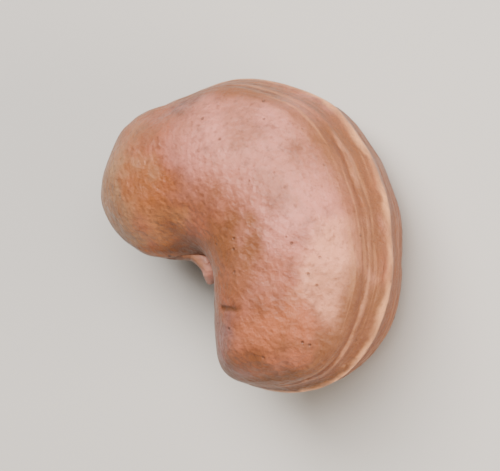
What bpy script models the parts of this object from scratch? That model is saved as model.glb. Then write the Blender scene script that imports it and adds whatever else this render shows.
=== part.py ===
"""Cashew nut in its shell, one closed solid.

The nut lies on its broad side. Its seam, the line where the two shell halves meet, is level.
X runs along the length, Y across it with the notch on the -Y side, Z is up.
The origin is in the middle of the footprint, at the height of the places it rests on.
Every size is in metres, worked out for a nut of about 31 x 26 x 17 mm.
"""
import math

import bmesh
import bpy
import numpy as np
from mathutils import Vector

MM = 0.001

# The seam seen from above: x and y in millimetres, then the place on the middle line
# that the point belongs to, 0 at the stalk lobe and 1 at the far lobe
BACK_OF_SEAM = [
    (-14.1, 5.0, 0.0),
    (-8.9, 10.5, 0.2),
    (-0.8, 13.7, 0.4),
    (7.1, 11.4, 0.6),
    (12.8, 5.3, 0.8),
    (14.4, -2.9, 1.0),
]
NOTCH_OF_SEAM = [
    (1.8, -8.7, 1.0),
    (0.8, -5.7, 0.75),
    (-1.3, -3.6, 0.45),
    (-5.3, -5.2, 0.0),
]
# The rounded ends of the two lobes
FAR_END_OF_SEAM = [(12.0, -8.5), (7.6, -11.2), (4.3, -11.9)]
STALK_END_OF_SEAM = [(-10.5, -7.3), (-15.1, -4.9), (-16.3, 0.5)]

# How far the two broad faces stand from the seam along the middle line
UPPER_HEIGHT = 9.10 * MM
UPPER_FALL = 5.0 * MM
UPPER_TOP_PLACE = 0.48
LOWER_HEIGHT = 8.22 * MM
LOWER_SWELL = 0.18 * MM
LOWER_SWELL_COUNT = 2
LOWER_END_FALL = 8.0 * MM

# Fullness of the cross-section: 1 is an ellipse, less is plumper
FULLNESS = 0.91

# The seam stands up as a rib, with a shallow channel and then a fine groove beside it
RIB_HEIGHT = 0.28 * MM
RIB_HALF_WIDTH = 0.60 * MM
CHANNEL_DEPTH = 0.15 * MM
CHANNEL_PLACE = 1.6 * MM
CHANNEL_HALF_WIDTH = 0.75 * MM
GROOVE_DEPTH = 0.16 * MM
GROOVE_PLACE = 2.8 * MM
GROOVE_HALF_WIDTH = 0.42 * MM
SHOULDER_HEIGHT = 0.10 * MM
SHOULDER_PLACE = 4.3 * MM
SHOULDER_HALF_WIDTH = 1.1 * MM
RELIEF_LEFT_IN_NOTCH = 0.40
RELIEF_LEFT_BELOW = 0.45

# The seam rises and falls a little on its way round: waves in all, where each starts, its height
SEAM_WAVES = [
    (2, 0.7, 0.28 * MM),
    (5, 0.0, 0.14 * MM),
]

# Slow unevenness of the shell, fading out towards the rest underneath.
# Each wave has its share along X, Y and Z, where it starts, and its height.
LUMP_WAVES = [
    (1.0, 0.8, 0.0, 1.3, 0.090 * MM),
    (0.0, 1.3, -0.7, 0.4, 0.090 * MM),
    (1.9, -1.1, 0.0, 2.1, 0.054 * MM),
]
LUMP_LENGTH = 11.0 * MM
LUMP_FADE_START = -4.0 * MM
LUMP_FADE_END = -7.0 * MM

# Scar of the stalk, a sunken oval with a low rim beside the notch
SCAR_CENTRE = (-8.6 * MM, -6.4 * MM, -3.2 * MM)
SCAR_HALF_LENGTH = 2.7 * MM
SCAR_HALF_HEIGHT = 1.9 * MM
SCAR_DEPTH = 0.45 * MM
SCAR_RIM_HEIGHT = 0.20 * MM
SCAR_RIM_PLACE = 1.12
SCAR_RIM_WIDTH = 0.22
SCAR_FADE_POWER = 4

# The nub in the notch: a low ridge on the wall of the stalk lobe that ends in a free curled tip.
# Points on its middle line with its radius there.
NUB_LINE = [
    (-7.6 * MM, -4.9 * MM, 3.1 * MM, 0.35 * MM),
    (-5.9 * MM, -4.95 * MM, 3.0 * MM, 0.60 * MM),
    (-4.6 * MM, -4.25 * MM, 2.8 * MM, 0.78 * MM),
    (-3.2 * MM, -3.7 * MM, 2.5 * MM, 0.80 * MM),
    (-1.95 * MM, -3.75 * MM, 2.5 * MM, 0.88 * MM),
    (-1.3 * MM, -4.45 * MM, 2.2 * MM, 0.76 * MM),
    (-1.25 * MM, -5.4 * MM, 1.6 * MM, 0.40 * MM),
]
NUB_STEPS = 20
NUB_SIDES = 12
NUB_POINTS_ON_WALL = 4
NUB_SWELL_HEIGHT = 0.55 * MM
NUB_SWELL_WIDTH = 1.35 * MM

# The three low places under the nut are pressed flat at this depth below the seam
REST_DEPTH = 8.04 * MM

# The coarse mesh: steps along each side and round each end, then the rows on each broad face
# by their distance from the seam along the shell, and the mean radius of the cross-section
SIDE_STEPS = 16
END_STEPS = 7
ROWS = [0.0, 0.8 * MM, 1.7 * MM, 2.8 * MM, 4.3 * MM, 6.3 * MM, 8.7 * MM, 11.2 * MM]
ROW_RADIUS = 8.4 * MM
SMOOTH_FROM_ROW = 4
SMOOTH_STRENGTH = 0.5
FINENESS = 1

SHELL_COLOUR = (0.43, 0.20, 0.12, 1.0)
SHELL_ROUGHNESS = 0.42


def clear_scene():
    for thing in list(bpy.data.objects):
        bpy.data.objects.remove(thing)


def hermite(u, start, end, start_slope, end_slope):
    """Cubic between two values, u runs from 0 to 1."""
    rest = 1.0 - u
    return ((1 + 2 * u) * rest ** 2 * start + u * rest ** 2 * start_slope
            + u ** 2 * (3 - 2 * u) * end - u ** 2 * rest * end_slope)


def closed_curve(points):
    """Smooth closed curve through the points: its function and the place of each point on it."""
    count = len(points)
    steps = np.sqrt(np.linalg.norm(np.roll(points, -1, axis=0) - points, axis=1))
    knots = np.concatenate([[0.0], np.cumsum(steps)])
    system = np.zeros((count, count))
    right = np.zeros_like(points)
    for i in range(count):
        before, after = steps[i - 1], steps[i]
        following = (i + 1) % count
        system[i, i - 1] += after
        system[i, i] += 2 * (before + after)
        system[i, following] += before
        right[i] = 3 * (after * (points[i] - points[i - 1]) / before
                        + before * (points[following] - points[i]) / after)
    slopes = np.linalg.solve(system, right)

    def curve(places):
        places = np.mod(places, knots[-1])
        i = np.clip(np.searchsorted(knots, places, side="right") - 1, 0, count - 1)
        following = (i + 1) % count
        u = ((places - knots[i]) / steps[i])[:, None]
        length = steps[i][:, None]
        return hermite(u, points[i], points[following], length * slopes[i],
                       length * slopes[following])

    return curve, knots


def steady_line(xs, ys):
    """Smooth function through the pairs that never turns back between two of them."""
    xs = np.asarray(xs, dtype=float)
    ys = np.asarray(ys, dtype=float)
    steps = np.diff(xs)
    rises = np.diff(ys) / steps
    slopes = np.concatenate([[rises[0]], np.zeros(len(xs) - 2), [rises[-1]]])
    for i in range(1, len(xs) - 1):
        if rises[i - 1] * rises[i] > 0:
            first = 2 * steps[i] + steps[i - 1]
            second = steps[i] + 2 * steps[i - 1]
            slopes[i] = (first + second) / (first / rises[i - 1] + second / rises[i])

    def line(places):
        i = np.clip(np.searchsorted(xs, places, side="right") - 1, 0, len(xs) - 2)
        u = (places - xs[i]) / steps[i]
        return hermite(u, ys[i], ys[i + 1], steps[i] * slopes[i], steps[i] * slopes[i + 1])

    return line


def seam_and_middle():
    """Points round the seam, the points of the middle line, and which of those each belongs to."""
    rows = ([row[:2] for row in BACK_OF_SEAM] + FAR_END_OF_SEAM
            + [row[:2] for row in NOTCH_OF_SEAM] + STALK_END_OF_SEAM)
    curve, knots = closed_curve(np.array(rows) * MM)
    back_stop = len(BACK_OF_SEAM)
    notch_start = back_stop + len(FAR_END_OF_SEAM)
    notch_stop = notch_start + len(NOTCH_OF_SEAM)
    back = steady_line([row[2] for row in BACK_OF_SEAM], knots[:back_stop])
    notch = steady_line([row[2] for row in reversed(NOTCH_OF_SEAM)],
                        knots[notch_start:notch_stop][::-1])
    places = np.linspace(0.0, 1.0, SIDE_STEPS + 1)
    outer = curve(back(places))
    inner = curve(notch(places))
    far_end = curve(np.linspace(knots[back_stop - 1], knots[notch_start], END_STEPS + 1)[1:-1])
    stalk_end = curve(np.linspace(knots[notch_stop - 1], knots[-1], END_STEPS + 1)[1:-1])
    seam = np.vstack([outer, far_end, inner[::-1], stalk_end])
    side = np.arange(SIDE_STEPS + 1)
    owner = np.concatenate([side, np.full(END_STEPS - 1, SIDE_STEPS), side[::-1],
                            np.zeros(END_STEPS - 1, dtype=int)])
    return seam, (outer + inner) / 2, owner


def past_the_ends():
    """How far round a lobe's end each seam point lies: 0 along the sides, 1 at the tip."""
    turn = np.sin(math.pi * np.arange(1, END_STEPS) / END_STEPS)
    side = np.zeros(SIDE_STEPS + 1)
    return np.concatenate([side, turn, side, -turn])


def notch_share():
    """1 in the middle of the notch and 0 on the back and the ends, for each seam point."""
    share = np.zeros(2 * (SIDE_STEPS + END_STEPS))
    first = SIDE_STEPS + END_STEPS
    share[first:first + SIDE_STEPS + 1] = np.sin(np.linspace(0.0, math.pi, SIDE_STEPS + 1)) ** 2
    return share


def upper_height(place):
    return UPPER_HEIGHT - UPPER_FALL * (place - UPPER_TOP_PLACE) ** 2


def lower_height(place):
    """Low at both ends and halfway: the three places that the nut rests on."""
    past_end = np.maximum(np.maximum(-place, place - 1.0), 0.0)
    swell = LOWER_SWELL * np.cos(2 * math.pi * LOWER_SWELL_COUNT * place)
    return LOWER_HEIGHT + swell - LOWER_END_FALL * past_end ** 2


def row_distances():
    return ROWS + [ROW_RADIUS * math.pi / 2]


def face_rows(seam, middle, owner, height, sign):
    """Rows of points from the seam to the middle line on one broad face."""
    length = np.concatenate([[0.0], np.cumsum(np.linalg.norm(np.diff(middle, axis=0), axis=1))])
    away = seam - middle[owner]
    past = past_the_ends() * np.linalg.norm(away, axis=1)
    around = np.linspace(0.0, 2 * math.pi, len(owner), endpoint=False)
    wander = sum(wave_height * np.sin(waves * around + start)
                 for waves, start, wave_height in SEAM_WAVES)
    rows = []
    for distance in row_distances():
        angle = distance / ROW_RADIUS
        reach = max(math.cos(angle), 0.0) ** FULLNESS
        place = (length[owner] + reach * past) / length[-1]
        level = sign * height(place) * math.sin(angle) ** FULLNESS + wander * reach ** 2
        rows.append(np.column_stack([middle[owner] + reach * away, level]))
    return np.array(rows)


def add_face(bm, corners, upward):
    """Adds a quad, or a triangle where two of its corners are one, facing out."""
    distinct = [corner for i, corner in enumerate(corners) if corner is not corners[i - 1]]
    if upward:
        distinct.reverse()
    bm.faces.new(distinct)


def add_points(bm, points, distance, notch, layers):
    verts = []
    for point, share in zip(points, notch):
        vert = bm.verts.new(point)
        vert[layers[0]] = distance
        vert[layers[1]] = share
        verts.append(vert)
    return verts


def shell_cage():
    """Coarse closed mesh of the shell without its relief, with each point's distance from the seam."""
    seam, middle, owner = seam_and_middle()
    notch = notch_share()
    around = len(owner)
    bm = bmesh.new()
    layers = (bm.verts.layers.float.new("from_seam"), bm.verts.layers.float.new("in_notch"))
    seam_ring = None
    face_verts = []
    for sign, height in ((1, upper_height), (-1, lower_height)):
        rows = face_rows(seam, middle, owner, height, sign)
        distances = row_distances()
        if seam_ring is None:
            seam_ring = add_points(bm, rows[0], distances[0], notch, layers)
        rings = [seam_ring]
        for row, distance in zip(rows[1:-1], distances[1:-1]):
            rings.append(add_points(bm, row, distance, notch, layers))
        middle_verts = add_points(bm, rows[-1][:SIDE_STEPS + 1], distances[-1],
                                  np.zeros(SIDE_STEPS + 1), layers)
        rings.append([middle_verts[i] for i in owner])
        for ring in rings[SMOOTH_FROM_ROW:-1]:
            face_verts.extend(ring)
        face_verts.extend(middle_verts)
        for low, high in zip(rings, rings[1:]):
            for i in range(around):
                j = (i + 1) % around
                add_face(bm, [low[i], low[j], high[j], high[i]], sign > 0)
    bmesh.ops.smooth_vert(bm, verts=face_verts, factor=SMOOTH_STRENGTH, use_axis_x=True,
                          use_axis_y=True, use_axis_z=True)
    mesh = bpy.data.meshes.new("shell_cage")
    bm.to_mesh(mesh)
    bm.free()
    return mesh


def rounded(mesh):
    """A finer copy of the coarse mesh with its corners rounded off."""
    cage = bpy.data.objects.new("cage", mesh)
    bpy.context.scene.collection.objects.link(cage)
    rounding = cage.modifiers.new("rounding", "SUBSURF")
    rounding.levels = FINENESS
    rounding.render_levels = FINENESS
    graph = bpy.context.evaluated_depsgraph_get()
    fine = bpy.data.meshes.new_from_object(cage.evaluated_get(graph))
    bpy.data.objects.remove(cage)
    return fine


def read_values(mesh, name):
    values = np.zeros(len(mesh.vertices))
    mesh.attributes[name].data.foreach_get("value", values)
    return values


def bump(distance, place, half_width):
    return np.exp(-((distance - place) / half_width) ** 2)


def seam_relief(points, distance, notch):
    """Rib on the seam, and beside it the channel, groove and shoulder, fainter underneath."""
    rib = RIB_HEIGHT * bump(distance, 0.0, RIB_HALF_WIDTH)
    beside = (SHOULDER_HEIGHT * bump(distance, SHOULDER_PLACE, SHOULDER_HALF_WIDTH)
              - CHANNEL_DEPTH * bump(distance, CHANNEL_PLACE, CHANNEL_HALF_WIDTH)
              - GROOVE_DEPTH * bump(distance, GROOVE_PLACE, GROOVE_HALF_WIDTH))
    share = np.where(points[:, 2] > 0, 1.0, RELIEF_LEFT_BELOW)
    return (rib + share * beside) * (1 - (1 - RELIEF_LEFT_IN_NOTCH) * notch)


def lumps(points):
    turns = points / LUMP_LENGTH * 2 * math.pi
    height = sum(wave_height * np.sin(turns @ np.array([along_x, along_y, along_z]) + start)
                 for along_x, along_y, along_z, start, wave_height in LUMP_WAVES)
    fade = (points[:, 2] - LUMP_FADE_END) / (LUMP_FADE_START - LUMP_FADE_END)
    return height * np.clip(fade, 0.0, 1.0)


def scar_radius(points):
    """Distance from the middle of the scar, 1 on its edge."""
    away = points - np.array(SCAR_CENTRE)
    flat = np.linalg.norm(away[:, :2], axis=1)
    return np.sqrt((flat / SCAR_HALF_LENGTH) ** 2 + (away[:, 2] / SCAR_HALF_HEIGHT) ** 2)


def scar_relief(radius):
    hollow = np.sqrt(np.clip(1 - radius ** 2, 0.0, None))
    return SCAR_RIM_HEIGHT * bump(radius, SCAR_RIM_PLACE, SCAR_RIM_WIDTH) - SCAR_DEPTH * hollow


def beside_nub(points):
    """Swelling of the wall along the ridge of the nub, so that it grows out of the shell."""
    line = np.array(NUB_LINE)[:NUB_POINTS_ON_WALL, :3]
    nearest = np.full(len(points), np.inf)
    for start, stop in zip(line, line[1:]):
        way = stop - start
        along = np.clip((points - start) @ way / (way @ way), 0.0, 1.0)
        away = np.linalg.norm(points - start - along[:, None] * way, axis=1)
        nearest = np.minimum(nearest, away)
    return NUB_SWELL_HEIGHT * bump(nearest, 0.0, NUB_SWELL_WIDTH)


def shell_object():
    mesh = rounded(shell_cage())
    points = np.zeros(len(mesh.vertices) * 3)
    normals = np.zeros(len(mesh.vertices) * 3)
    mesh.vertices.foreach_get("co", points)
    mesh.vertex_normals.foreach_get("vector", normals)
    points = points.reshape(-1, 3)
    normals = normals.reshape(-1, 3)
    radius = scar_radius(points)
    beside_scar = 1 - np.exp(-radius ** SCAR_FADE_POWER)
    rise = beside_scar * seam_relief(points, read_values(mesh, "from_seam"),
                                     read_values(mesh, "in_notch"))
    rise = rise + lumps(points) + scar_relief(radius) + beside_nub(points)
    points = points + normals * rise[:, None]
    points[:, 2] = np.maximum(points[:, 2], -REST_DEPTH)
    mesh.vertices.foreach_set("co", points.reshape(-1))
    mesh.name = "cashew_nut"
    nut = bpy.data.objects.new("cashew_nut", mesh)
    bpy.context.scene.collection.objects.link(nut)
    return nut


def nub_object():
    """Tapering curled horn whose far root lies inside the shell."""
    line = np.array(NUB_LINE)
    places = np.arange(len(line), dtype=float)
    fine = np.linspace(0.0, len(line) - 1.0, NUB_STEPS + 1)
    path = np.column_stack([steady_line(places, line[:, i])(fine) for i in range(4)])
    bm = bmesh.new()
    rings = []
    for step in range(NUB_STEPS + 1):
        centre = Vector(path[step, :3])
        radius = float(path[step, 3])
        way = Vector(path[min(step + 1, NUB_STEPS), :3] - path[max(step - 1, 0), :3]).normalized()
        across = way.cross(Vector((0, 0, 1))).normalized()
        over = across.cross(way)
        ring = []
        for i in range(NUB_SIDES):
            turn = 2 * math.pi * i / NUB_SIDES
            side = math.cos(turn) * across + math.sin(turn) * over
            ring.append(bm.verts.new(centre + radius * side))
        rings.append(ring)
    root = bm.verts.new(Vector(path[0, :3]) - (Vector(path[1, :3]) - Vector(path[0, :3])))
    tip_way = (Vector(path[-1, :3]) - Vector(path[-2, :3])).normalized()
    tip = bm.verts.new(Vector(path[-1, :3]) + tip_way * float(path[-1, 3]))
    for i in range(NUB_SIDES):
        j = (i + 1) % NUB_SIDES
        bm.faces.new([rings[0][i], rings[0][j], root])
        bm.faces.new([rings[-1][j], rings[-1][i], tip])
        for low, high in zip(rings, rings[1:]):
            bm.faces.new([low[i], high[i], high[j], low[j]])
    mesh = bpy.data.meshes.new("nub")
    bm.to_mesh(mesh)
    bm.free()
    nub = bpy.data.objects.new("nub", mesh)
    bpy.context.scene.collection.objects.link(nub)
    nub.hide_render = True
    nub.display_type = "WIRE"
    return nub


def stand_on_ground(nut, nub):
    """Centre of the footprint at the origin, the pressed places at height 0."""
    points = np.array([vertex.co[:] for vertex in nut.data.vertices])
    middle = (points.min(axis=0) + points.max(axis=0)) / 2
    for thing in (nut, nub):
        thing.location = (-middle[0], -middle[1], REST_DEPTH)


def shell_material():
    material = bpy.data.materials.new("nut_shell")
    material.use_nodes = True
    shader = material.node_tree.nodes["Principled BSDF"]
    shader.inputs["Base Color"].default_value = SHELL_COLOUR
    shader.inputs["Roughness"].default_value = SHELL_ROUGHNESS
    shader.inputs["Metallic"].default_value = 0.0
    return material


def main():
    clear_scene()
    nut = shell_object()
    nub = nub_object()
    stand_on_ground(nut, nub)
    union = nut.modifiers.new("nub", "BOOLEAN")
    union.operation = "UNION"
    union.solver = "EXACT"
    union.object = nub
    nut.data.materials.append(shell_material())
    nut.data.shade_smooth()


main()
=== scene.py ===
import math
from collections import namedtuple

import bmesh
import bpy
import numpy as np
from mathutils import Matrix, Vector, noise


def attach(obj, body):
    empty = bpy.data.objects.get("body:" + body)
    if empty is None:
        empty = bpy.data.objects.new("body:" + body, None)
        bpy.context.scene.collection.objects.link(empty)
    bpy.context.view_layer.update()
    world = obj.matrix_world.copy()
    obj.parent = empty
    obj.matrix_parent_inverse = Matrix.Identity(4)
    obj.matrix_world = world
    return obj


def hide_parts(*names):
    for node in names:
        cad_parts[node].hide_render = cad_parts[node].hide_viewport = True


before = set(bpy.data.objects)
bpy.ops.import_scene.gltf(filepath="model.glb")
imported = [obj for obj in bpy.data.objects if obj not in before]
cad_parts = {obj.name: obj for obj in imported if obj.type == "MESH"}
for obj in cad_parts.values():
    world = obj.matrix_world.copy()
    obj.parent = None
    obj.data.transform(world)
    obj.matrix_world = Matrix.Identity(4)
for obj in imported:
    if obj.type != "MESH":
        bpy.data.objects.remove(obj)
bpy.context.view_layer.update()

MM = 0.001

# The seam seen from above: x and y in millimetres, then the place on the middle line
# that the point belongs to, 0 at the stalk lobe and 1 at the far lobe
BACK_OF_SEAM = [
    (-14.1, 5.0, 0.0),
    (-8.9, 10.5, 0.2),
    (-0.8, 13.7, 0.4),
    (7.1, 11.4, 0.6),
    (12.8, 5.3, 0.8),
    (14.4, -2.9, 1.0),
]
NOTCH_OF_SEAM = [
    (1.8, -8.7, 1.0),
    (0.8, -5.7, 0.75),
    (-1.3, -3.6, 0.45),
    (-5.3, -5.2, 0.0),
]
# The rounded ends of the two lobes
FAR_END_OF_SEAM = [(12.0, -8.5), (7.6, -11.2), (4.3, -11.9)]
STALK_END_OF_SEAM = [(-10.5, -7.3), (-15.1, -4.9), (-16.3, 0.5)]

# How far the two broad faces stand from the seam along the middle line
UPPER_HEIGHT = 9.10 * MM
UPPER_FALL = 5.0 * MM
UPPER_TOP_PLACE = 0.48
LOWER_HEIGHT = 8.22 * MM
LOWER_SWELL = 0.18 * MM
LOWER_SWELL_COUNT = 2
LOWER_END_FALL = 8.0 * MM

# Fullness of the cross-section: 1 is an ellipse, less is plumper
FULLNESS = 0.91

# The low places under the nut are pressed flat at this depth below the seam
REST_DEPTH = 8.04 * MM

# Relief by the distance from the seam: rib, channel, groove and shoulder
RIB_HEIGHT = 0.28 * MM
RIB_HALF_WIDTH = 0.60 * MM
CHANNEL_DEPTH = 0.15 * MM
CHANNEL_PLACE = 1.6 * MM
CHANNEL_HALF_WIDTH = 0.75 * MM
GROOVE_DEPTH = 0.16 * MM
GROOVE_PLACE = 2.8 * MM
GROOVE_HALF_WIDTH = 0.42 * MM
SHOULDER_HEIGHT = 0.10 * MM
SHOULDER_PLACE = 4.3 * MM
SHOULDER_HALF_WIDTH = 1.1 * MM
RELIEF_LEFT_IN_NOTCH = 0.40
RELIEF_LEFT_BELOW = 0.45

# The seam rises and falls a little: number of waves all round, start and height of each
SEAM_WAVES = [
    (2, 0.7, 0.28 * MM),
    (5, 0.0, 0.14 * MM),
]

# Slow unevenness: share along X, Y and Z, start and height of each wave
LUMP_WAVES = [
    (1.0, 0.8, 0.0, 1.3, 0.090 * MM),
    (0.0, 1.3, -0.7, 0.4, 0.090 * MM),
    (1.9, -1.1, 0.0, 2.1, 0.054 * MM),
]
LUMP_LENGTH = 11.0 * MM
LUMP_FADE_START = -4.0 * MM
LUMP_FADE_END = -7.0 * MM

# Scar of the stalk, a sunken rough oval with a low rim
SCAR_CENTRE = (-8.6 * MM, -6.4 * MM, -3.2 * MM)
SCAR_HALF_LENGTH = 2.7 * MM
SCAR_HALF_HEIGHT = 1.9 * MM
SCAR_DEPTH = 0.45 * MM
SCAR_RIM_HEIGHT = 0.20 * MM
SCAR_RIM_PLACE = 1.12
SCAR_RIM_WIDTH = 0.22
SCAR_FADE_POWER = 4
SCAR_ROUGHNESS = 0.10 * MM

# The nub in the notch: points on its middle line with its radius there
NUB_LINE = [
    (-7.6 * MM, -4.9 * MM, 3.1 * MM, 0.35 * MM),
    (-5.9 * MM, -4.95 * MM, 3.0 * MM, 0.60 * MM),
    (-4.6 * MM, -4.25 * MM, 2.8 * MM, 0.78 * MM),
    (-3.2 * MM, -3.7 * MM, 2.5 * MM, 0.80 * MM),
    (-1.95 * MM, -3.75 * MM, 2.5 * MM, 0.88 * MM),
    (-1.3 * MM, -4.45 * MM, 2.2 * MM, 0.76 * MM),
    (-1.25 * MM, -5.4 * MM, 1.6 * MM, 0.40 * MM),
]
NUB_STEPS = 72
NUB_SIDES = 40
NUB_POINTS_ON_WALL = 4
NUB_SWELL_HEIGHT = 0.55 * MM
NUB_SWELL_WIDTH = 1.35 * MM

# The coarse mesh under the skin, and how often it is refined
SIDE_STEPS = 16
END_STEPS = 7
ROWS = [0.0, 0.8 * MM, 1.7 * MM, 2.8 * MM, 4.3 * MM, 6.3 * MM, 8.7 * MM, 11.2 * MM]
ROW_RADIUS = 8.4 * MM
SMOOTH_FROM_ROW = 4
SMOOTH_STRENGTH = 0.5
FINENESS = 3

# Fine unevenness of the skin: repeats in a metre and height of each layer
SKIN_LAYERS = [
    (210, 0.085 * MM),
    (480, 0.042 * MM),
    (1100, 0.020 * MM),
]

# Wrinkles along the seam and in the notch, and pits
RIM_WRINKLE_LENGTH = 0.70 * MM
RIM_WRINKLE_HEIGHT = 0.020 * MM
RIM_WRINKLE_WAVER = 0.8
RIM_WRINKLE_REACH = 3 * CHANNEL_HALF_WIDTH
NOTCH_MIDDLE = (-1.5 * MM, -4.6 * MM, 3.0 * MM)
NOTCH_REACH = 5.0 * MM
NOTCH_WRINKLE_HEIGHT = 0.07 * MM
NOTCH_WRINKLE_FLATNESS = 2.4
PIT_DEPTH = 0.16 * MM
PIT_LEVEL = 0.34

# Noises of the relief: repeats in a metre and seed
RIM_WAVER_NOISE = (160, 11)
NOTCH_NOISE = (900, 3)
PIT_NOISE = (640, 5)
SCAR_NOISES = [(1500, 7), (3000, 8)]

# How far each seed moves the noise
SEED_SHIFT = (3.7, 1.9, 2.3)

# Short crease across the notch side of the far lobe
CREASE_START = (3.9 * MM, -5.0 * MM, 7.0 * MM)
CREASE_END = (6.0 * MM, -3.9 * MM, 7.9 * MM)
CREASE_HALF_WIDTH = 0.27 * MM
CREASE_DEPTH = 0.20 * MM
CREASE_END_FADE = 0.6

RED_BROWN = (0.300, 0.085, 0.038, 1)
WARM_BROWN = (0.190, 0.066, 0.024, 1)
DEEP_BROWN = (0.110, 0.034, 0.014, 1)
ORANGE = (0.255, 0.078, 0.020, 1)
BRICK = (0.430, 0.125, 0.058, 1)
# Pink of the painted highlight on the broad faces
PINK_HIGHLIGHT = (0.530, 0.190, 0.142, 1)
# Warm pink of the painted highlight on the shoulder
ROSE_HIGHLIGHT = (0.760, 0.315, 0.185, 1)
TAN = (0.320, 0.165, 0.075, 1)
AMBER = (0.400, 0.165, 0.055, 1)
# Dark browns of the painted shade at the low far tip and the low right rim
OCHRE_SHADE = (0.110, 0.040, 0.011, 1)
UMBER_SHADE = (0.190, 0.070, 0.018, 1)
GREY_PURPLE = (0.230, 0.105, 0.095, 1)
PALE_RIB = (0.640, 0.285, 0.128, 1)
RIDGE_TAN = (0.400, 0.165, 0.085, 1)
# Brown of the painted shade in the groove and under the rib, and of the dark streaks beside the seam
SHADE_AND_STREAK_BROWN = (0.150, 0.048, 0.020, 1)
SCAR_BROWN = (0.105, 0.047, 0.030, 1)
SCAR_RIM = (0.260, 0.115, 0.065, 1)
# Brown of the painted shade in the notch and the crease
RECESS_SHADE = (0.120, 0.040, 0.015, 1)
PORE_BROWN = (0.100, 0.040, 0.022, 1)
SPECKLE_PURPLE = (0.110, 0.048, 0.040, 1)
NUB_ROOT = (0.190, 0.068, 0.030, 1)
NUB_TAN = (0.280, 0.115, 0.058, 1)
NUB_PINK = (0.480, 0.185, 0.125, 1)

# Patches on the skin: middle, radius, strength and colour
PATCHES = [
    # Painted highlight: three pink patches on the top of the dome
    ((-4.0 * MM, 7.6 * MM, 8.2 * MM), 7.5 * MM, 0.75, PINK_HIGHLIGHT),
    ((-1.0 * MM, 12.2 * MM, 4.6 * MM), 6.0 * MM, 0.80, PINK_HIGHLIGHT),
    ((6.0 * MM, 6.5 * MM, 8.0 * MM), 9.0 * MM, 0.80, PINK_HIGHLIGHT),
    # Painted highlight: two warm patches on the shoulder
    ((12.2 * MM, 1.5 * MM, 5.4 * MM), 4.8 * MM, 0.62, ROSE_HIGHLIGHT),
    ((11.0 * MM, 5.0 * MM, 6.0 * MM), 4.6 * MM, 0.50, ROSE_HIGHLIGHT),
    ((-12.0 * MM, -1.0 * MM, 6.0 * MM), 7.0 * MM, 0.90, TAN),
    ((-10.5 * MM, -5.0 * MM, 3.0 * MM), 6.0 * MM, 0.80, TAN),
    ((-7.0 * MM, 0.2 * MM, 7.9 * MM), 3.6 * MM, 0.85, ORANGE),
    ((10.0 * MM, -4.4 * MM, 7.4 * MM), 4.6 * MM, 0.75, BRICK),
    ((4.8 * MM, -7.8 * MM, 5.2 * MM), 4.0 * MM, 0.70, GREY_PURPLE),
    # Painted shade: darker low far tip and low right end
    ((11.0 * MM, -9.4 * MM, 2.4 * MM), 6.5 * MM, 1.00, OCHRE_SHADE),
    ((14.6 * MM, 0.5 * MM, 1.0 * MM), 6.0 * MM, 0.85, WARM_BROWN),
    ((2.3 * MM, 0.4 * MM, 8.3 * MM), 5.2 * MM, 1.00, WARM_BROWN),
    ((-5.6 * MM, -2.2 * MM, 6.6 * MM), 4.0 * MM, 0.55, AMBER),
    ((-9.3 * MM, 8.4 * MM, 5.6 * MM), 3.4 * MM, 0.45, GREY_PURPLE),
    ((13.6 * MM, -6.0 * MM, 2.2 * MM), 1.2 * MM, 0.80, PALE_RIB),
    # Painted shade: darker low right rim
    ((13.6 * MM, 1.2 * MM, 2.6 * MM), 3.0 * MM, 0.60, UMBER_SHADE),
    ((12.2 * MM, 5.8 * MM, 2.6 * MM), 3.0 * MM, 0.45, UMBER_SHADE),
]
PATCH_CORE = 0.15
PATCH_WAVE_REACH = 9.0 * MM
SPECKLE_MIDDLE = (-9.5 * MM, 8.6 * MM, 5.2 * MM)
SPECKLE_RADIUS = 4.8 * MM

# Mottling: repeats in a metre, detail, roughness, two levels of the noise and what each gives
Mottle = namedtuple("Mottle", "repeats detail rough low high weakest strongest")
BASE_MOTTLE = Mottle(90, 3.0, 0.55, 0.35, 0.65, 0.0, 1.0)
# Bloom, partly a painted highlight
BLOOM_AND_HIGHLIGHT_MOTTLE = Mottle(130, 4.0, 0.60, 0.42, 0.70, 0.0, 0.35)
SPECKLE_MOTTLE = Mottle(1300, 3.0, 0.60, 0.50, 0.62, 0.0, 0.60)
BROAD_MOTTLE = Mottle(170, 6.0, 0.62, 0.50, 0.62, 0.0, 0.40)
MIDDLE_MOTTLE = Mottle(420, 6.0, 0.65, 0.48, 0.72, 0.0, 0.42)
FINE_MOTTLE = Mottle(2200, 3.0, 0.60, 0.50, 0.72, 0.0, 0.40)
SEAM_WAVER = Mottle(700, 3.0, 0.50, 0.20, 0.80, -0.25, 0.25)
CHANNEL_MOTTLE = Mottle(180, 2.0, 0.50, 0.30, 0.70, 0.42, 0.90)
GROOVE_MOTTLE = Mottle(210, 3.0, 0.50, 0.38, 0.62, 0.05, 0.80)
RIDGE_MOTTLE = Mottle(160, 2.0, 0.50, 0.42, 0.60, 0.0, 0.55)
RIB_MOTTLE = Mottle(350, 3.0, 0.50, 0.35, 0.60, 0.35, 1.0)
SCAR_WAVER = Mottle(900, 3.0, 0.50, 0.20, 0.80, -0.12, 0.12)
SCAR_MOTTLE = Mottle(1300, 4.0, 0.65, 0.42, 0.66, 0.0, 1.0)
PORE_MOTTLE = Mottle(300, 2.0, 0.50, 0.45, 0.60, 0.0, 1.0)
ROUGHNESS_MOTTLE = Mottle(600, 4.0, 0.60, 0.30, 0.70, 0.30, 0.46)
NUB_WAVER = Mottle(500, 3.0, 0.50, 0.20, 0.80, -0.12, 0.12)
NUB_MOTTLE = Mottle(1500, 4.0, 0.50, 0.50, 0.75, 0.0, 0.50)

# Streaks beside the seam: repeats in a metre along it, repeats in a millimetre across it
STREAKS_ALONG = 130
STREAKS_ACROSS = 2.4

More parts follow.
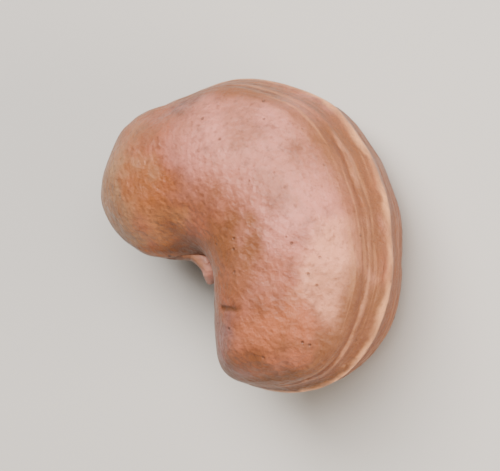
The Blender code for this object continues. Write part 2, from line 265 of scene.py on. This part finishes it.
# Bands beside the seam, in millimetres from it: start, full, still full, end
# The channel band is partly the brown of the skin and partly painted shade where the side turns from
# the light
CHANNEL_BAND = (0.5, 1.2, 4.0, 5.4)
# The groove band is painted shade
GROOVE_SHADE_BAND = (2.35, 2.75, 2.9, 3.3)
STREAK_BAND = (0.5, 1.1, 3.5, 5.5)
RIDGE_BAND = (1.7, 2.1, 2.3, 2.6)

# Fades by one value: where the colour starts, where it is full and how strong it is there.
# By millimetres from the seam:
# Bloom on the broad faces, partly a painted highlight
BLOOM_AND_HIGHLIGHT_FADE = (4.0, 8.0, 1.0)
RIB_FADE = (0.70, 0.10, 1.0)
# Painted shade under the rib
BELOW_RIB_SHADE_FADE = (3.2, 1.0, 0.6)
# By height:
# Painted shade under the seam
BELOW_SEAM_SHADE_FADE = (0.1 * MM, -0.4 * MM, 1.0)
# Painted shade on the underside
UNDERSIDE_SHADE_FADE = (-0.2 * MM, -3.5 * MM, 0.45)
# By the streaks' noise:
DARK_STREAK_FADE = (0.50, 0.66, 0.75)
PALE_STREAK_FADE = (0.46, 0.34, 0.22)
# By nearness to the notch, the crease and the nub:
# Painted shade in the notch and the crease
NOTCH_SHADE_FADE = (0.25, 0.95, 0.85)
CREASE_SHADE_FADE = (0.1, 0.7, 0.95)
NUB_RIDGE_FADE = (0.40, 0.95, 0.60)
# By distance from the middle of the scar, 1 on its edge:
SCAR_RIM_FADE = (1.35, 1.1, 0.7)
SCAR_FADE = (1.05, 0.82, 1.0)
SCAR_DULLNESS = (1.1, 0.9, 0.75)
# By place along the nub:
NUB_TAN_FADE = (0.20, 0.55, 1.0)
NUB_PINK_FADE = (0.60, 0.80, 1.0)
# By distance from the middle of a cell:
PORE_FADE = (0.16, 0.06, 1.0)

# Plain noises: repeats in a metre, detail and roughness
PATCH_WAVE_NOISE = (340, 3.0, 0.50)
GRAIN_NOISE = (2400, 5.0, 0.65)
NOISE_MIDDLE = (0.5, 0.5, 0.5)

# Pores and grain of the skin
PORE_REPEATS = 850
NUB_PORE_REPEATS = 1400
PORE_DARKNESS = 0.7
PORE_SHARE = -0.8
CELL_REPEATS = 1500
CELL_SHARE = 0.7
GRAIN_STRENGTH = 0.7
GRAIN_DEPTH = 0.22 * MM

SKIN_SPECULAR = 0.30
NUB_ROUGHNESS = 0.45

FLOOR_HALF_SIZE = 1.5
FLOOR_COLOUR = (0.52, 0.485, 0.435, 1)
FLOOR_ROUGHNESS = 0.6

# Softboxes: direction from the nut, width and height, power in watts and colour
LIGHTS = [
    ("softbox", (-0.08, 0.46, 0.87), (0.62, 0.24), 7.0, (0.98, 0.97, 0.98)),
    ("side_softbox", (0.88, 0.24, 0.32), (0.11, 0.26), 2.6, (1.0, 0.91, 0.82)),
]
LIGHT_DISTANCE = 0.45
LIGHT_TARGET = Vector((0, 0, 8 * MM))
SURROUND_COLOUR = (1.0, 0.92, 0.82, 1)
SURROUND_STRENGTH = 0.20

# Camera: direction from the nut to it, direction that is up in the picture, lens in millimetres
SIGHT = Vector((0.459, 0.265, 0.848)).normalized()
PICTURE_UP = Vector((-0.5, 0.866, 0.0)).normalized()
CAMERA_TARGET = Vector((0.44 * MM, -1.24 * MM, 8.34 * MM))
CAMERA_DISTANCE = 0.37
CAMERA_LENS = 300
CAMERA_SENSOR = 36
CAMERA_NEAR_LIMIT = 0.001


def hermite(u, start, end, start_slope, end_slope):
    """Cubic between two values, u runs from 0 to 1."""
    rest = 1.0 - u
    return ((1 + 2 * u) * rest ** 2 * start + u * rest ** 2 * start_slope
            + u ** 2 * (3 - 2 * u) * end - u ** 2 * rest * end_slope)


def closed_curve(points):
    """Smooth closed curve through the points: its function and the place of each point on it."""
    count = len(points)
    steps = np.sqrt(np.linalg.norm(np.roll(points, -1, axis=0) - points, axis=1))
    knots = np.concatenate([[0.0], np.cumsum(steps)])
    system = np.zeros((count, count))
    right = np.zeros_like(points)
    for i in range(count):
        before, after = steps[i - 1], steps[i]
        following = (i + 1) % count
        system[i, i - 1] += after
        system[i, i] += 2 * (before + after)
        system[i, following] += before
        right[i] = 3 * (after * (points[i] - points[i - 1]) / before
                        + before * (points[following] - points[i]) / after)
    slopes = np.linalg.solve(system, right)

    def curve(places):
        places = np.mod(places, knots[-1])
        i = np.clip(np.searchsorted(knots, places, side="right") - 1, 0, count - 1)
        following = (i + 1) % count
        u = ((places - knots[i]) / steps[i])[:, None]
        length = steps[i][:, None]
        return hermite(u, points[i], points[following], length * slopes[i],
                       length * slopes[following])

    return curve, knots


def steady_line(xs, ys):
    """Smooth function through the pairs that never turns back between two of them."""
    xs = np.asarray(xs, dtype=float)
    ys = np.asarray(ys, dtype=float)
    steps = np.diff(xs)
    rises = np.diff(ys) / steps
    slopes = np.concatenate([[rises[0]], np.zeros(len(xs) - 2), [rises[-1]]])
    for i in range(1, len(xs) - 1):
        if rises[i - 1] * rises[i] > 0:
            first = 2 * steps[i] + steps[i - 1]
            second = steps[i] + 2 * steps[i - 1]
            slopes[i] = (first + second) / (first / rises[i - 1] + second / rises[i])

    def line(places):
        i = np.clip(np.searchsorted(xs, places, side="right") - 1, 0, len(xs) - 2)
        u = (places - xs[i]) / steps[i]
        return hermite(u, ys[i], ys[i + 1], steps[i] * slopes[i], steps[i] * slopes[i + 1])

    return line


def seam_and_middle():
    """Points round the seam, the points of the middle line, and which of those each belongs to."""
    rows = ([row[:2] for row in BACK_OF_SEAM] + FAR_END_OF_SEAM
            + [row[:2] for row in NOTCH_OF_SEAM] + STALK_END_OF_SEAM)
    curve, knots = closed_curve(np.array(rows) * MM)
    back_stop = len(BACK_OF_SEAM)
    notch_start = back_stop + len(FAR_END_OF_SEAM)
    notch_stop = notch_start + len(NOTCH_OF_SEAM)
    back = steady_line([row[2] for row in BACK_OF_SEAM], knots[:back_stop])
    notch = steady_line([row[2] for row in reversed(NOTCH_OF_SEAM)],
                        knots[notch_start:notch_stop][::-1])
    places = np.linspace(0.0, 1.0, SIDE_STEPS + 1)
    outer = curve(back(places))
    inner = curve(notch(places))
    far_end = curve(np.linspace(knots[back_stop - 1], knots[notch_start], END_STEPS + 1)[1:-1])
    stalk_end = curve(np.linspace(knots[notch_stop - 1], knots[-1], END_STEPS + 1)[1:-1])
    seam = np.vstack([outer, far_end, inner[::-1], stalk_end])
    side = np.arange(SIDE_STEPS + 1)
    owner = np.concatenate([side, np.full(END_STEPS - 1, SIDE_STEPS), side[::-1],
                            np.zeros(END_STEPS - 1, dtype=int)])
    return seam, (outer + inner) / 2, owner


def past_the_ends():
    """How far round a lobe's end each seam point lies: 0 along the sides, 1 at the tip."""
    turn = np.sin(math.pi * np.arange(1, END_STEPS) / END_STEPS)
    side = np.zeros(SIDE_STEPS + 1)
    return np.concatenate([side, turn, side, -turn])


def notch_share():
    """1 in the middle of the notch and 0 on the back and the ends, for each seam point."""
    share = np.zeros(2 * (SIDE_STEPS + END_STEPS))
    first = SIDE_STEPS + END_STEPS
    share[first:first + SIDE_STEPS + 1] = np.sin(np.linspace(0.0, math.pi, SIDE_STEPS + 1)) ** 2
    return share


def upper_height(place):
    return UPPER_HEIGHT - UPPER_FALL * (place - UPPER_TOP_PLACE) ** 2


def lower_height(place):
    """Low at both ends and halfway: the three places that the nut rests on."""
    past_end = np.maximum(np.maximum(-place, place - 1.0), 0.0)
    swell = LOWER_SWELL * np.cos(2 * math.pi * LOWER_SWELL_COUNT * place)
    return LOWER_HEIGHT + swell - LOWER_END_FALL * past_end ** 2


def row_distances():
    return ROWS + [ROW_RADIUS * math.pi / 2]


def face_rows(seam, middle, owner, height, sign):
    """Rows of points from the seam to the middle line on one broad face."""
    length = np.concatenate([[0.0], np.cumsum(np.linalg.norm(np.diff(middle, axis=0), axis=1))])
    away = seam - middle[owner]
    past = past_the_ends() * np.linalg.norm(away, axis=1)
    around = np.linspace(0.0, 2 * math.pi, len(owner), endpoint=False)
    wander = sum(wave_height * np.sin(waves * around + start)
                 for waves, start, wave_height in SEAM_WAVES)
    rows = []
    for distance in row_distances():
        angle = distance / ROW_RADIUS
        reach = max(math.cos(angle), 0.0) ** FULLNESS
        place = (length[owner] + reach * past) / length[-1]
        level = sign * height(place) * math.sin(angle) ** FULLNESS + wander * reach ** 2
        rows.append(np.column_stack([middle[owner] + reach * away, level]))
    return np.array(rows)


def add_face(bm, corners, upward):
    """Adds a quad, or a triangle where two of its corners are one, facing out."""
    distinct = [corner for i, corner in enumerate(corners) if corner is not corners[i - 1]]
    if upward:
        distinct.reverse()
    bm.faces.new(distinct)


def add_points(bm, points, distance, notch, layers):
    """Adds a row of points that keep their distance from the seam and their share of the notch."""
    verts = []
    for point, share in zip(points, notch):
        vert = bm.verts.new(point)
        vert[layers[0]] = distance
        vert[layers[1]] = share
        verts.append(vert)
    return verts


def shell_cage():
    """Coarse closed mesh of the shell without its relief, with each point's distance from the seam."""
    seam, middle, owner = seam_and_middle()
    notch = notch_share()
    around = len(owner)
    bm = bmesh.new()
    layers = (bm.verts.layers.float.new("from_seam"), bm.verts.layers.float.new("in_notch"))
    seam_ring = None
    face_verts = []
    for sign, height in ((1, upper_height), (-1, lower_height)):
        rows = face_rows(seam, middle, owner, height, sign)
        distances = row_distances()
        if seam_ring is None:
            seam_ring = add_points(bm, rows[0], distances[0], notch, layers)
        rings = [seam_ring]
        for row, distance in zip(rows[1:-1], distances[1:-1]):
            rings.append(add_points(bm, row, distance, notch, layers))
        middle_verts = add_points(bm, rows[-1][:SIDE_STEPS + 1], distances[-1],
                                  np.zeros(SIDE_STEPS + 1), layers)
        rings.append([middle_verts[i] for i in owner])
        for ring in rings[SMOOTH_FROM_ROW:-1]:
            face_verts.extend(ring)
        face_verts.extend(middle_verts)
        for low, high in zip(rings, rings[1:]):
            for i in range(around):
                j = (i + 1) % around
                add_face(bm, [low[i], low[j], high[j], high[i]], sign > 0)
    bmesh.ops.smooth_vert(bm, verts=face_verts, factor=SMOOTH_STRENGTH, use_axis_x=True,
                          use_axis_y=True, use_axis_z=True)
    mesh = bpy.data.meshes.new("shell_cage")
    bm.to_mesh(mesh)
    bm.free()
    return mesh


def rounded(mesh):
    """A finer copy of the coarse mesh with its corners rounded off."""
    cage = bpy.data.objects.new("cage", mesh)
    bpy.context.scene.collection.objects.link(cage)
    rounding = cage.modifiers.new("rounding", "SUBSURF")
    rounding.levels = FINENESS
    rounding.render_levels = FINENESS
    graph = bpy.context.evaluated_depsgraph_get()
    fine = bpy.data.meshes.new_from_object(cage.evaluated_get(graph))
    bpy.data.objects.remove(cage)
    return fine


def read_values(mesh, name):
    values = np.zeros(len(mesh.vertices))
    mesh.attributes[name].data.foreach_get("value", values)
    return values


def store_values(mesh, name, values):
    layer = mesh.attributes.new(name, "FLOAT", "POINT")
    layer.data.foreach_set("value", np.asarray(values, dtype=np.float32))


def read_vectors(collection, name):
    values = np.zeros(len(collection) * 3)
    collection.foreach_get(name, values)
    return values.reshape(-1, 3)


def noise_at(points, repeats, seed):
    """Smooth noise from about -1 to 1 at each point."""
    shift = Vector(SEED_SHIFT) * seed
    return np.array([noise.noise(Vector(point) * repeats + shift) for point in points.tolist()])


def bump(distance, place, half_width):
    return np.exp(-((distance - place) / half_width) ** 2)


def distance_to_segment(points, start, stop):
    """Distance of each point from a straight stretch, and the share of it that lies before there."""
    way = stop - start
    along = np.clip((points - start) @ way / (way @ way), 0.0, 1.0)
    away = np.linalg.norm(points - start - along[:, None] * way, axis=1)
    return away, along


def seam_relief(points, distance, notch):
    """Rib on the seam, and beside it the channel, groove and shoulder, fainter underneath."""
    rib = RIB_HEIGHT * bump(distance, 0.0, RIB_HALF_WIDTH)
    beside = (SHOULDER_HEIGHT * bump(distance, SHOULDER_PLACE, SHOULDER_HALF_WIDTH)
              - CHANNEL_DEPTH * bump(distance, CHANNEL_PLACE, CHANNEL_HALF_WIDTH)
              - GROOVE_DEPTH * bump(distance, GROOVE_PLACE, GROOVE_HALF_WIDTH))
    share = np.where(points[:, 2] > 0, 1.0, RELIEF_LEFT_BELOW)
    return (rib + share * beside) * (1 - (1 - RELIEF_LEFT_IN_NOTCH) * notch)


def lumps(points):
    """Slow waves over the shell, fading out towards the rest underneath."""
    turns = points / LUMP_LENGTH * 2 * math.pi
    height = sum(wave_height * np.sin(turns @ np.array([along_x, along_y, along_z]) + start)
                 for along_x, along_y, along_z, start, wave_height in LUMP_WAVES)
    fade = (points[:, 2] - LUMP_FADE_END) / (LUMP_FADE_START - LUMP_FADE_END)
    return height * np.clip(fade, 0.0, 1.0)


def scar_radius(points):
    """Distance from the middle of the scar, 1 on its edge."""
    away = points - np.array(SCAR_CENTRE)
    flat = np.linalg.norm(away[:, :2], axis=1)
    return np.sqrt((flat / SCAR_HALF_LENGTH) ** 2 + (away[:, 2] / SCAR_HALF_HEIGHT) ** 2)


def scar_relief(points, radius):
    """Sunken rough oval with a low rim."""
    hollow = np.sqrt(np.clip(1 - radius ** 2, 0.0, None))
    rough = sum(noise_at(points, repeats, seed) for repeats, seed in SCAR_NOISES)
    return (SCAR_RIM_HEIGHT * bump(radius, SCAR_RIM_PLACE, SCAR_RIM_WIDTH) - SCAR_DEPTH * hollow
            + SCAR_ROUGHNESS * rough * np.clip(SCAR_RIM_PLACE - radius, 0.0, 1.0))


def near_notch(points):
    """1 in the bottom of the notch, fading out round it."""
    away = np.linalg.norm(points - np.array(NOTCH_MIDDLE), axis=1)
    return bump(away, 0.0, NOTCH_REACH)


def crease_share(points):
    """1 along the short crease of the far lobe, fainter at its far end, 0 away from it."""
    away, along = distance_to_segment(points, np.array(CREASE_START), np.array(CREASE_END))
    return bump(away, 0.0, CREASE_HALF_WIDTH) * (1 - along ** 3 * CREASE_END_FADE)


def beside_nub(points):
    """1 along the ridge of the nub on the wall, fading out round it."""
    line = np.array(NUB_LINE)[:NUB_POINTS_ON_WALL, :3]
    away = np.min([distance_to_segment(points, start, stop)[0]
                   for start, stop in zip(line, line[1:])], axis=0)
    return bump(away, 0.0, NUB_SWELL_WIDTH)


def skin_relief(points, distance, notch):
    """Small natural unevenness of the skin."""
    relief = np.zeros(len(points))
    for seed, (repeats, height) in enumerate(SKIN_LAYERS):
        relief += height * noise_at(points, repeats, seed)
    waver = RIM_WRINKLE_WAVER * noise_at(points, *RIM_WAVER_NOISE)
    wrinkles = np.sin(2 * math.pi * (distance / RIM_WRINKLE_LENGTH + waver))
    beside_rib = bump(distance, GROOVE_PLACE, RIM_WRINKLE_REACH)
    relief += RIM_WRINKLE_HEIGHT * wrinkles * beside_rib * (1 - notch)
    stretched = points * np.array([1.0, 1.0, NOTCH_WRINKLE_FLATNESS])
    relief += NOTCH_WRINKLE_HEIGHT * near_notch(points) * noise_at(stretched, *NOTCH_NOISE)
    relief -= PIT_DEPTH * np.clip(noise_at(points, *PIT_NOISE) - PIT_LEVEL, 0.0, None)
    return relief


def shell_object():
    """The shell with all its relief, and the values that its material reads at each point."""
    mesh = rounded(shell_cage())
    points = read_vectors(mesh.vertices, "co")
    normals = read_vectors(mesh.vertex_normals, "vector")
    distance = read_values(mesh, "from_seam")
    notch = read_values(mesh, "in_notch")
    radius = scar_radius(points)
    beside_scar = 1 - np.exp(-radius ** SCAR_FADE_POWER)
    crease = crease_share(points)
    ridge = beside_nub(points)
    rise = beside_scar * (seam_relief(points, distance, notch) + skin_relief(points, distance, notch))
    rise = rise + lumps(points) + scar_relief(points, radius) + NUB_SWELL_HEIGHT * ridge
    rise = rise - CREASE_DEPTH * crease
    moved = points + normals * rise[:, None]
    moved[:, 2] = np.maximum(moved[:, 2], -REST_DEPTH)
    mesh.vertices.foreach_set("co", moved.reshape(-1))
    mesh.update()
    store_values(mesh, "seam_mm", distance / MM)
    store_values(mesh, "near_notch", near_notch(points))
    store_values(mesh, "scar", radius)
    store_values(mesh, "crease", crease)
    store_values(mesh, "nub_ridge", ridge)
    mesh.name = "nut_shell"
    nut = bpy.data.objects.new("nut_shell", mesh)
    bpy.context.scene.collection.objects.link(nut)
    return nut


def nub_object():
    """Tapering curled horn whose far root lies inside the shell."""
    line = np.array(NUB_LINE)
    places = np.arange(len(line), dtype=float)
    fine = np.linspace(0.0, len(line) - 1.0, NUB_STEPS + 1)
    path = np.column_stack([steady_line(places, line[:, i])(fine) for i in range(4)])
    bm = bmesh.new()
    layer = bm.verts.layers.float.new("along")
    rings = []
    for step in range(NUB_STEPS + 1):
        centre = Vector(path[step, :3])
        radius = float(path[step, 3])
        way = Vector(path[min(step + 1, NUB_STEPS), :3] - path[max(step - 1, 0), :3]).normalized()
        across = way.cross(Vector((0, 0, 1))).normalized()
        over = across.cross(way)
        ring = []
        for i in range(NUB_SIDES):
            turn = 2 * math.pi * i / NUB_SIDES
            side = math.cos(turn) * across + math.sin(turn) * over
            vert = bm.verts.new(centre + radius * side)
            vert[layer] = step / NUB_STEPS
            ring.append(vert)
        rings.append(ring)
    root = bm.verts.new(Vector(path[0, :3]) - (Vector(path[1, :3]) - Vector(path[0, :3])))
    tip_way = (Vector(path[-1, :3]) - Vector(path[-2, :3])).normalized()
    tip = bm.verts.new(Vector(path[-1, :3]) + tip_way * float(path[-1, 3]))
    tip[layer] = 1.0
    for i in range(NUB_SIDES):
        j = (i + 1) % NUB_SIDES
        bm.faces.new([rings[0][i], rings[0][j], root])
        bm.faces.new([rings[-1][j], rings[-1][i], tip])
        for low, high in zip(rings, rings[1:]):
            bm.faces.new([low[i], high[i], high[j], low[j]])
    mesh = bpy.data.meshes.new("nut_nub")
    bm.to_mesh(mesh)
    bm.free()
    nub = bpy.data.objects.new("nut_nub", mesh)
    bpy.context.scene.collection.objects.link(nub)
    return nub


class Nodes:
    """Small helper that adds shader nodes and joins them."""

    def __init__(self, name):
        self.material = bpy.data.materials.new(name)
        self.material.use_nodes = True
        self.tree = self.material.node_tree
        self.shader = self.tree.nodes["Principled BSDF"]

    def join(self, value, socket):
        if isinstance(value, bpy.types.NodeSocket):
            self.tree.links.new(value, socket)
        else:
            socket.default_value = value

    def value(self, name):
        """A value stored at the mesh's points."""
        node = self.tree.nodes.new("ShaderNodeAttribute")
        node.attribute_name = name
        return node.outputs["Fac"]

    def place(self):
        node = self.tree.nodes.new("ShaderNodeTexCoord")
        return node.outputs["Object"]

    def height(self):
        node = self.tree.nodes.new("ShaderNodeSeparateXYZ")
        self.join(self.place(), node.inputs["Vector"])
        return node.outputs["Z"]

    def noise(self, repeats, detail, rough, output="Fac"):
        node = self.tree.nodes.new("ShaderNodeTexNoise")
        node.inputs["Scale"].default_value = repeats
        node.inputs["Detail"].default_value = detail
        node.inputs["Roughness"].default_value = rough
        self.join(self.place(), node.inputs["Vector"])
        return node.outputs[output]

    def streaks(self, distance):
        """Noise drawn out along lines of equal distance."""
        node = self.tree.nodes.new("ShaderNodeTexNoise")
        node.noise_dimensions = "4D"
        node.inputs["Scale"].default_value = STREAKS_ALONG
        self.join(self.place(), node.inputs["Vector"])
        self.join(self.math("MULTIPLY", distance, STREAKS_ACROSS / STREAKS_ALONG), node.inputs["W"])
        return node.outputs["Fac"]

    def cells(self, repeats):
        """Distance from the middle of the nearest of many small cells."""
        node = self.tree.nodes.new("ShaderNodeTexVoronoi")
        node.inputs["Scale"].default_value = repeats
        self.join(self.place(), node.inputs["Vector"])
        return node.outputs["Distance"]

    def vector(self, operation, first, second):
        node = self.tree.nodes.new("ShaderNodeVectorMath")
        node.operation = operation
        self.join(first, node.inputs[0])
        self.join(second, node.inputs[1])
        return node.outputs["Value" if operation == "DISTANCE" else "Vector"]

    def math(self, operation, first, second):
        node = self.tree.nodes.new("ShaderNodeMath")
        node.operation = operation
        self.join(first, node.inputs[0])
        self.join(second, node.inputs[1])
        return node.outputs[0]

    def spread(self, value, low, high, out_low=0.0, out_high=1.0):
        """Turns low to high into out_low to out_high, smoothly and no further."""
        node = self.tree.nodes.new("ShaderNodeMapRange")
        node.interpolation_type = "SMOOTHSTEP"
        self.join(value, node.inputs["Value"])
        node.inputs["From Min"].default_value = low
        node.inputs["From Max"].default_value = high
        node.inputs["To Min"].default_value = out_low
        node.inputs["To Max"].default_value = out_high
        return node.outputs["Result"]

    def mottle(self, kind):
        value = self.noise(kind.repeats, kind.detail, kind.rough)
        return self.spread(value, kind.low, kind.high, kind.weakest, kind.strongest)

    def fade(self, value, limits):
        start, full, strength = limits
        return self.spread(value, start, full, 0.0, strength)

    def band(self, value, limits):
        """1 in the middle of a band, 0 outside it."""
        start, full, still_full, end = limits
        return self.math("MULTIPLY", self.spread(value, start, full),
                         self.spread(value, end, still_full))

    def mix(self, share, first, second):
        node = self.tree.nodes.new("ShaderNodeMix")
        node.data_type = "RGBA"
        self.join(share, node.inputs["Factor"])
        self.join(first, node.inputs["A"])
        self.join(second, node.inputs["B"])
        return node.outputs["Result"]

    def waved_place(self):
        """The place on the nut, shifted a little by noise so that patches get natural edges."""
        waves = self.noise(*PATCH_WAVE_NOISE, output="Color")
        shift = self.vector("SUBTRACT", waves, NOISE_MIDDLE)
        shift = self.vector("MULTIPLY", shift, (PATCH_WAVE_REACH,) * 3)
        return self.vector("ADD", self.place(), shift)

    def patch(self, place, centre, radius, strength):
        """A soft round patch: strength in its core, 0 from the radius on."""
        away = self.vector("DISTANCE", place, centre)
        return self.fade(away, (radius, radius * PATCH_CORE, strength))


def skin_colour(n, seam):
    """Mottled red brown with the patches of the nut, among them painted highlights and painted shade,
    a paler bloom on the broad faces that is partly a painted highlight, and painted shade on the
    underside.
    """
    colour = n.mix(n.mottle(BASE_MOTTLE), RED_BROWN, WARM_BROWN)
    # Paler bloom on the broad faces, partly a painted highlight
    bloom_and_highlight = n.math("MULTIPLY", n.mottle(BLOOM_AND_HIGHLIGHT_MOTTLE), n.fade(seam, BLOOM_AND_HIGHLIGHT_FADE))
    colour = n.mix(bloom_and_highlight, colour, PINK_HIGHLIGHT)
    waved = n.waved_place()
    # Among the patches are painted highlights on the dome and shoulder and painted shade at the low
    # edges
    for centre, radius, strength, patch_colour in PATCHES:
        colour = n.mix(n.patch(waved, centre, radius, strength), colour, patch_colour)
    speckles = n.math("MULTIPLY", n.patch(waved, SPECKLE_MIDDLE, SPECKLE_RADIUS, 1.0),
                      n.mottle(SPECKLE_MOTTLE))
    colour = n.mix(speckles, colour, SPECKLE_PURPLE)
    colour = n.mix(n.mottle(BROAD_MOTTLE), colour, WARM_BROWN)
    # Painted shade: darker underside
    colour = n.mix(n.fade(n.height(), UNDERSIDE_SHADE_FADE), colour, DEEP_BROWN)
    colour = n.mix(n.mottle(MIDDLE_MOTTLE), colour, DEEP_BROWN)
    return n.mix(n.mottle(FINE_MOTTLE), colour, DEEP_BROWN)


def seam_colour(n, colour, seam):
    """Brown channel that is partly painted shade, painted shade in the groove, streaks beside the pale
    rib, and a line of painted shade under it.
    """
    waver = n.math("ADD", seam, n.mottle(SEAM_WAVER))
    # Brown channel, partly painted shade
    channel = n.math("MULTIPLY", n.band(waver, CHANNEL_BAND), n.mottle(CHANNEL_MOTTLE))
    colour = n.mix(channel, colour, WARM_BROWN)
    # Painted shade in the groove
    groove = n.math("MULTIPLY", n.band(waver, GROOVE_SHADE_BAND), n.mottle(GROOVE_MOTTLE))
    colour = n.mix(groove, colour, SHADE_AND_STREAK_BROWN)
    beside = n.band(waver, STREAK_BAND)
    streaks = n.streaks(seam)
    dark_streaks = n.math("MULTIPLY", beside, n.fade(streaks, DARK_STREAK_FADE))
    colour = n.mix(dark_streaks, colour, SHADE_AND_STREAK_BROWN)
    pale_streaks = n.math("MULTIPLY", beside, n.fade(streaks, PALE_STREAK_FADE))
    colour = n.mix(pale_streaks, colour, PALE_RIB)
    ridge = n.math("MULTIPLY", n.band(waver, RIDGE_BAND), n.mottle(RIDGE_MOTTLE))
    colour = n.mix(ridge, colour, RIDGE_TAN)
    # Painted shade: dark line under the rib
    below = n.math("MULTIPLY", n.fade(n.height(), BELOW_SEAM_SHADE_FADE), n.fade(waver, BELOW_RIB_SHADE_FADE))
    colour = n.mix(below, colour, SHADE_AND_STREAK_BROWN)
    rib = n.math("MULTIPLY", n.fade(waver, RIB_FADE), n.mottle(RIB_MOTTLE))
    return n.mix(rib, colour, PALE_RIB)


def scar_colour(n, colour, scar):
    """Mottled dark oval with a paler rim."""
    colour = n.mix(n.fade(scar, SCAR_RIM_FADE), colour, SCAR_RIM)
    edge = n.math("ADD", scar, n.mottle(SCAR_WAVER))
    mottled = n.mix(n.mottle(SCAR_MOTTLE), SCAR_BROWN, SCAR_RIM)
    return n.mix(n.fade(edge, SCAR_FADE), colour, mottled)


def skin_gloss(n, scar):
    """Satin skin, dull in the scar."""
    rough = n.math("MAXIMUM", n.mottle(ROUGHNESS_MOTTLE), n.fade(scar, SCAR_DULLNESS))
    n.join(rough, n.shader.inputs["Roughness"])
    n.shader.inputs["Specular IOR Level"].default_value = SKIN_SPECULAR


def skin_grain(n, pores):
    """Fine leathery grain with pores."""
    cells = n.math("MULTIPLY", n.cells(CELL_REPEATS), CELL_SHARE)
    grain = n.math("ADD", n.noise(*GRAIN_NOISE), cells)
    height = n.math("ADD", grain, n.math("MULTIPLY", pores, PORE_SHARE))
    node = n.tree.nodes.new("ShaderNodeBump")
    node.inputs["Strength"].default_value = GRAIN_STRENGTH
    node.inputs["Distance"].default_value = GRAIN_DEPTH
    n.join(height, node.inputs["Height"])
    n.join(node.outputs["Normal"], n.shader.inputs["Normal"])


def shell_material():
    n = Nodes("shell_skin")
    seam = n.value("seam_mm")
    scar = n.value("scar")
    colour = seam_colour(n, skin_colour(n, seam), seam)
    # Painted shade in the bottom of the notch and along the crease
    colour = n.mix(n.fade(n.value("near_notch"), NOTCH_SHADE_FADE), colour, RECESS_SHADE)
    colour = n.mix(n.fade(n.value("crease"), CREASE_SHADE_FADE), colour, RECESS_SHADE)
    colour = n.mix(n.fade(n.value("nub_ridge"), NUB_RIDGE_FADE), colour, RIDGE_TAN)
    pores = n.math("MULTIPLY", n.fade(n.cells(PORE_REPEATS), PORE_FADE), n.mottle(PORE_MOTTLE))
    colour = n.mix(n.math("MULTIPLY", pores, PORE_DARKNESS), colour, PORE_BROWN)
    n.join(scar_colour(n, colour, scar), n.shader.inputs["Base Color"])
    skin_gloss(n, scar)
    skin_grain(n, pores)
    return n.material


def nub_material():
    """Brown at the root, tan along the ridge and pinkish at the curl."""
    n = Nodes("nub_skin")
    along = n.math("ADD", n.value("along"), n.mottle(NUB_WAVER))
    colour = n.mix(n.fade(along, NUB_TAN_FADE), NUB_ROOT, NUB_TAN)
    colour = n.mix(n.fade(along, NUB_PINK_FADE), colour, NUB_PINK)
    colour = n.mix(n.mottle(NUB_MOTTLE), colour, DEEP_BROWN)
    n.join(colour, n.shader.inputs["Base Color"])
    n.shader.inputs["Roughness"].default_value = NUB_ROUGHNESS
    skin_grain(n, n.fade(n.cells(NUB_PORE_REPEATS), PORE_FADE))
    return n.material


def floor_object():
    mesh = bpy.data.meshes.new("floor")
    size = FLOOR_HALF_SIZE
    corners = [(-size, -size, 0), (size, -size, 0), (size, size, 0), (-size, size, 0)]
    mesh.from_pydata(corners, [], [(0, 1, 2, 3)])
    floor = bpy.data.objects.new("floor", mesh)
    bpy.context.scene.collection.objects.link(floor)
    n = Nodes("pale_floor")
    n.shader.inputs["Base Color"].default_value = FLOOR_COLOUR
    n.shader.inputs["Roughness"].default_value = FLOOR_ROUGHNESS
    mesh.materials.append(n.material)
    return floor


def looking(position, target, up):
    """Matrix of a camera or light at the position that faces the target."""
    back = (position - target).normalized()
    right = up.cross(back).normalized()
    over = back.cross(right)
    turn = Matrix((right, over, back)).transposed().to_4x4()
    turn.translation = position
    return turn


def add_camera():
    data = bpy.data.cameras.new("camera")
    data.lens = CAMERA_LENS
    data.sensor_width = CAMERA_SENSOR
    data.clip_start = CAMERA_NEAR_LIMIT
    camera = bpy.data.objects.new("camera", data)
    bpy.context.scene.collection.objects.link(camera)
    position = CAMERA_TARGET + SIGHT * CAMERA_DISTANCE
    camera.matrix_world = looking(position, CAMERA_TARGET, PICTURE_UP)
    bpy.context.scene.camera = camera


def add_light(name, way, size, power, colour):
    data = bpy.data.lights.new(name, "AREA")
    data.shape = "RECTANGLE"
    data.size, data.size_y = size
    data.energy = power
    data.color = colour
    light = bpy.data.objects.new(name, data)
    bpy.context.scene.collection.objects.link(light)
    position = Vector(way).normalized() * LIGHT_DISTANCE
    light.matrix_world = looking(position, LIGHT_TARGET, Vector((0, 1, 0)))


def add_surround():
    """Pale even light from all round."""
    world = bpy.data.worlds.new("studio")
    world.use_nodes = True
    background = world.node_tree.nodes["Background"]
    background.inputs["Color"].default_value = SURROUND_COLOUR
    background.inputs["Strength"].default_value = SURROUND_STRENGTH
    bpy.context.scene.world = world


def main():
    add_camera()
    for light in LIGHTS:
        add_light(*light)
    add_surround()
    floor_object()
    nut = shell_object()
    nub = nub_object()
    points = read_vectors(nut.data.vertices, "co")
    middle = (points.min(axis=0) + points.max(axis=0)) / 2
    for thing in (nut, nub):
        thing.location = (-middle[0], -middle[1], REST_DEPTH)
        thing.data.shade_smooth()
        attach(thing, "root")
    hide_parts("cashew_nut")
    nut.data.materials.append(shell_material())
    nub.data.materials.append(nub_material())


main()
